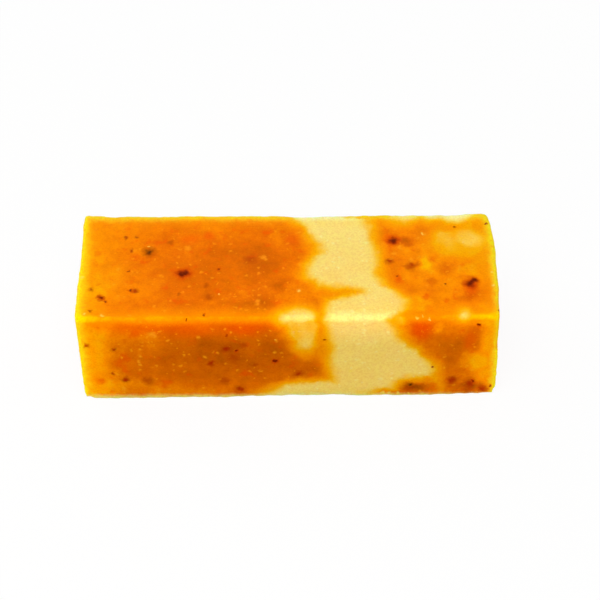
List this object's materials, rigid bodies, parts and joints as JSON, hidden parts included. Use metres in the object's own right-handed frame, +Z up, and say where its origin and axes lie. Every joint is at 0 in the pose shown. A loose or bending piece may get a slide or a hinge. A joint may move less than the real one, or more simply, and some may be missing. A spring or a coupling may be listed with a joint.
{
  "type": "bar of soap",
  "caption": "Rectangular hand-cut block of marbled soap with slightly bowed ends and softly rounded edges, for washing hands; it lies flat on its base.",
  "frame": {"origin": "centre of the bar's base", "axes": "+X along the length, +Z up, -Y out of the long face that the viewer sees"},
  "size_m": [0.091, 0.0324, 0.0249],
  "materials": {
    "marbled_soap": "waxy satin, slightly translucent, orange marbled with cream"
  },
  "bodies": {
    "root": {"soap_bar": "marbled_soap"}
  },
  "joints": []
}
